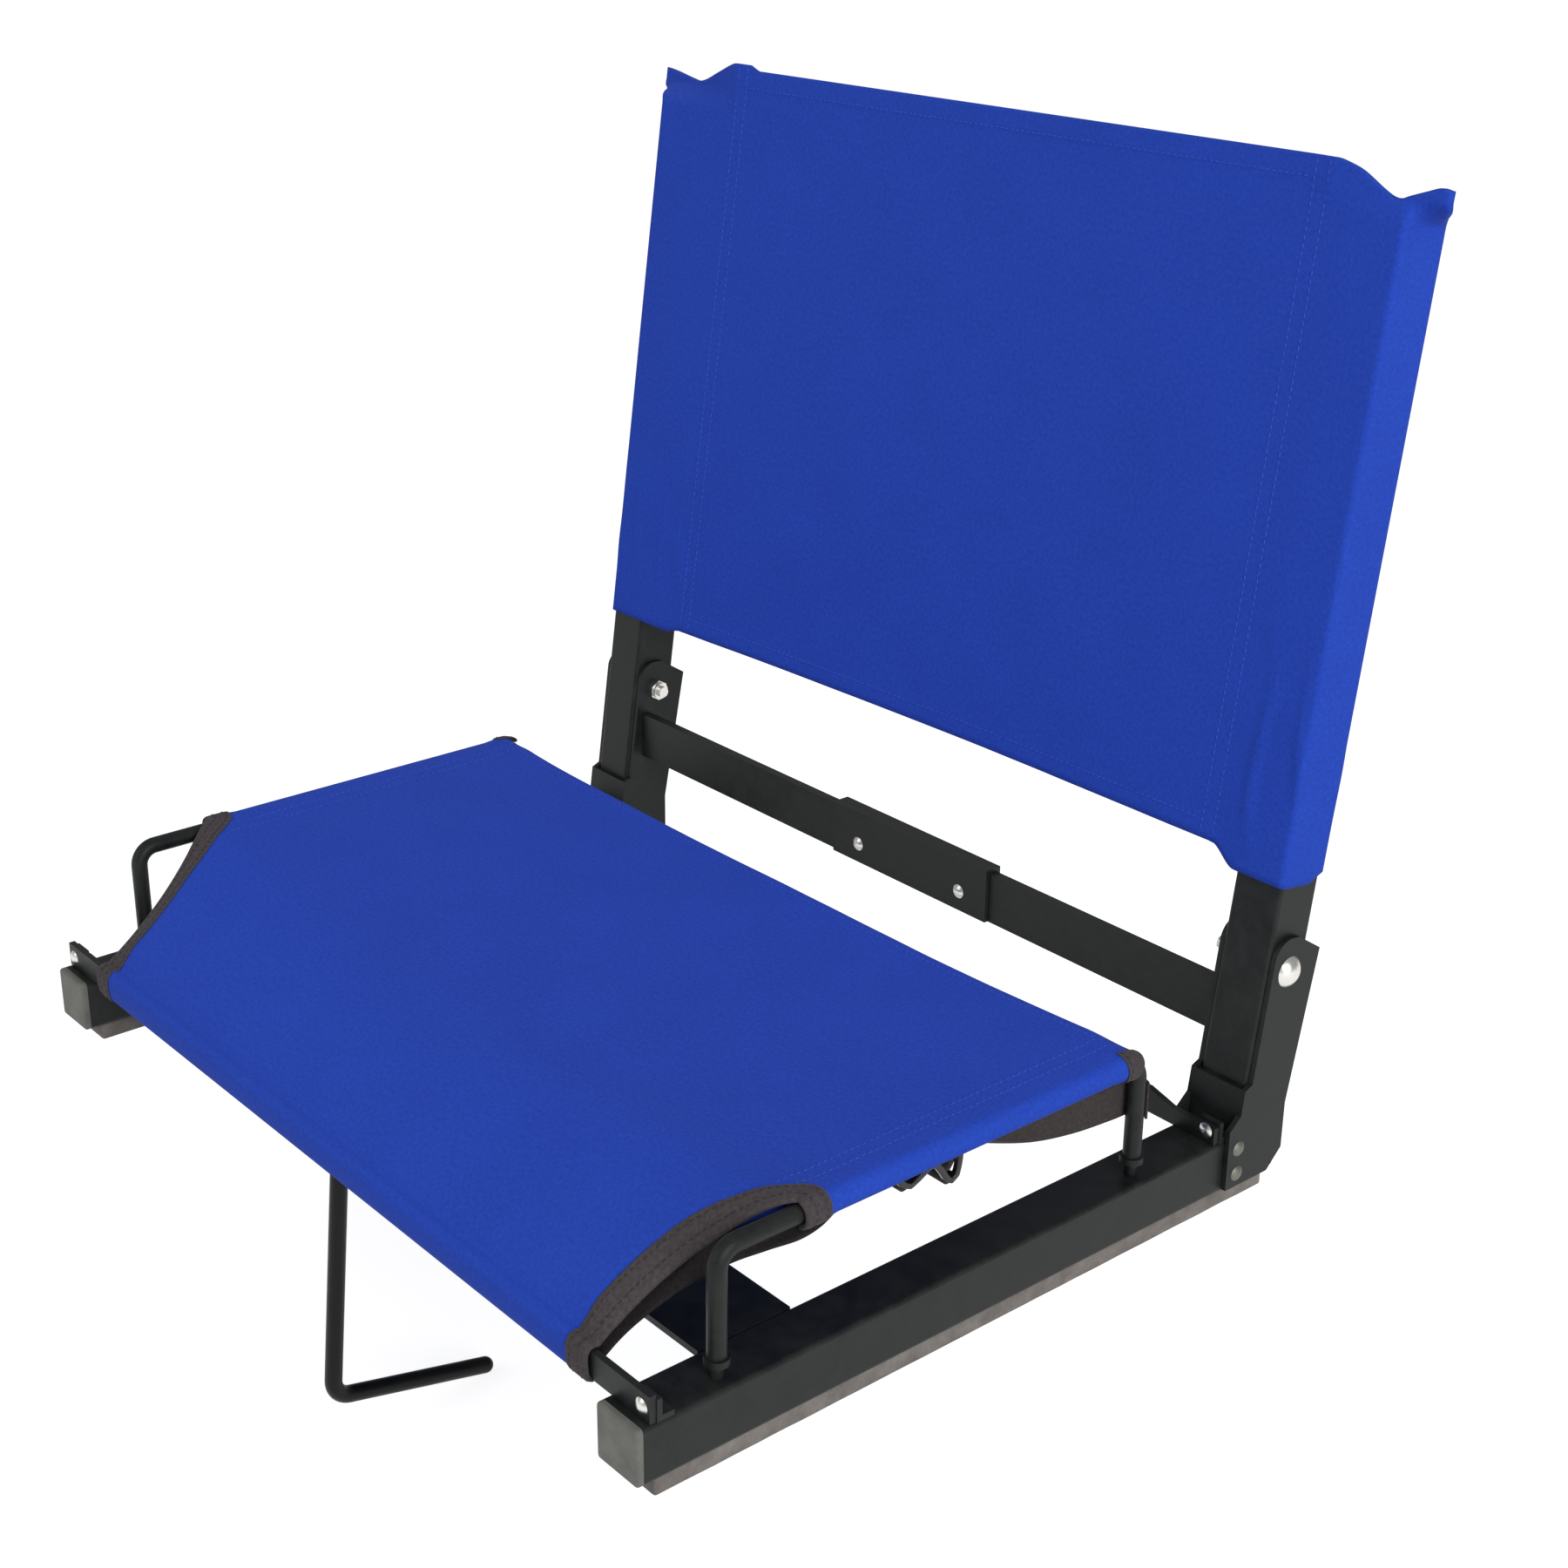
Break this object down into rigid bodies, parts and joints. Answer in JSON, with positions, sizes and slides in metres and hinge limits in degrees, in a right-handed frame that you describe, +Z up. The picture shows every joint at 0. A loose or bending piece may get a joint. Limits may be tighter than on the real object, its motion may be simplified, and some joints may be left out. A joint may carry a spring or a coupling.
{
  "type": "stadium seat",
  "caption": "Folding bench-top seat: steel base rails, cloth seat slung on bent side rods, cloth back on hinged square-tube uprights, and a swinging hook that grips the bench.",
  "frame": {"origin": "on the bench, midway between the two base rails and at half of their length", "axes": "+X to the sitter's left, +Y to the rear, +Z up; -Z is the side that the bench is on"},
  "size_m": [0.4926, 0.4145, 0.5621],
  "materials": {
    "black_powder_coat": "satin black powder coat on steel",
    "blue_cloth": "royal blue coated woven polyester",
    "grey_plastic": "moulded grey plastic",
    "grip_foam": "closed-cell grip foam",
    "zinc": "bright zinc plate",
    "binding_tape": "dark woven tape",
    "strap_webbing": "black woven webbing",
    "buckle_plastic": "black moulded plastic"
  },
  "bodies": {
    "base": {"base_rail_left": "black_powder_coat", "rail_cap_front_left": "grey_plastic", "rail_cap_rear_left": "grey_plastic", "rail_pad_left": "grip_foam", "side_rod_left": "black_powder_coat", "hinge_bracket_left": "black_powder_coat", "bracket_rivets_left": "zinc", "pivot_bolt_left": "zinc", "pivot_nut_left": "zinc", "rear_crossbar_left": "black_powder_coat", "seat_binding_left": "binding_tape", "base_rail_right": "black_powder_coat", "rail_cap_front_right": "grey_plastic", "rail_cap_rear_right": "grey_plastic", "rail_pad_right": "grip_foam", "side_rod_right": "black_powder_coat", "hinge_bracket_right": "black_powder_coat", "bracket_rivets_right": "zinc", "pivot_bolt_right": "zinc", "pivot_nut_right": "zinc", "rear_crossbar_right": "black_powder_coat", "seat_binding_right": "binding_tape", "crossbar_sleeve": "black_powder_coat", "crossbar_rivets": "zinc", "front_bar": "black_powder_coat", "front_bar_lugs": "black_powder_coat", "front_bar_rivets": "zinc", "rear_seat_bar": "black_powder_coat", "rear_bar_lugs": "black_powder_coat", "rear_bar_rivets": "zinc", "cross_plate": "black_powder_coat", "hook_bracket": "black_powder_coat", "hook_bracket_rivets": "zinc", "seat_sling": "blue_cloth", "closure_strap": "strap_webbing", "strap_tab": "strap_webbing", "strap_buckle": "buckle_plastic"},
    "back": {"back_upright_left": "black_powder_coat", "upright_top_cap_left": "grey_plastic", "upright_foot_plug_left": "grey_plastic", "back_upright_right": "black_powder_coat", "upright_top_cap_right": "grey_plastic", "upright_foot_plug_right": "grey_plastic", "back_sling": "blue_cloth"},
    "hook": {"bleacher_hook": "black_powder_coat", "hook_retainer": "zinc"}
  },
  "joints": [
    {"name": "back_fold", "type": "hinge", "parent": "base", "child": "back", "pos_m": [0, 0.174, 0.109], "axis": [1, 0, 0], "range_deg": [0, 96]},
    {"name": "hook_swing", "type": "hinge", "parent": "base", "child": "hook", "pos_m": [0, -0.16, 0.03538], "axis": [1, 0, 0], "range_deg": [-35, 74]}
  ]
}
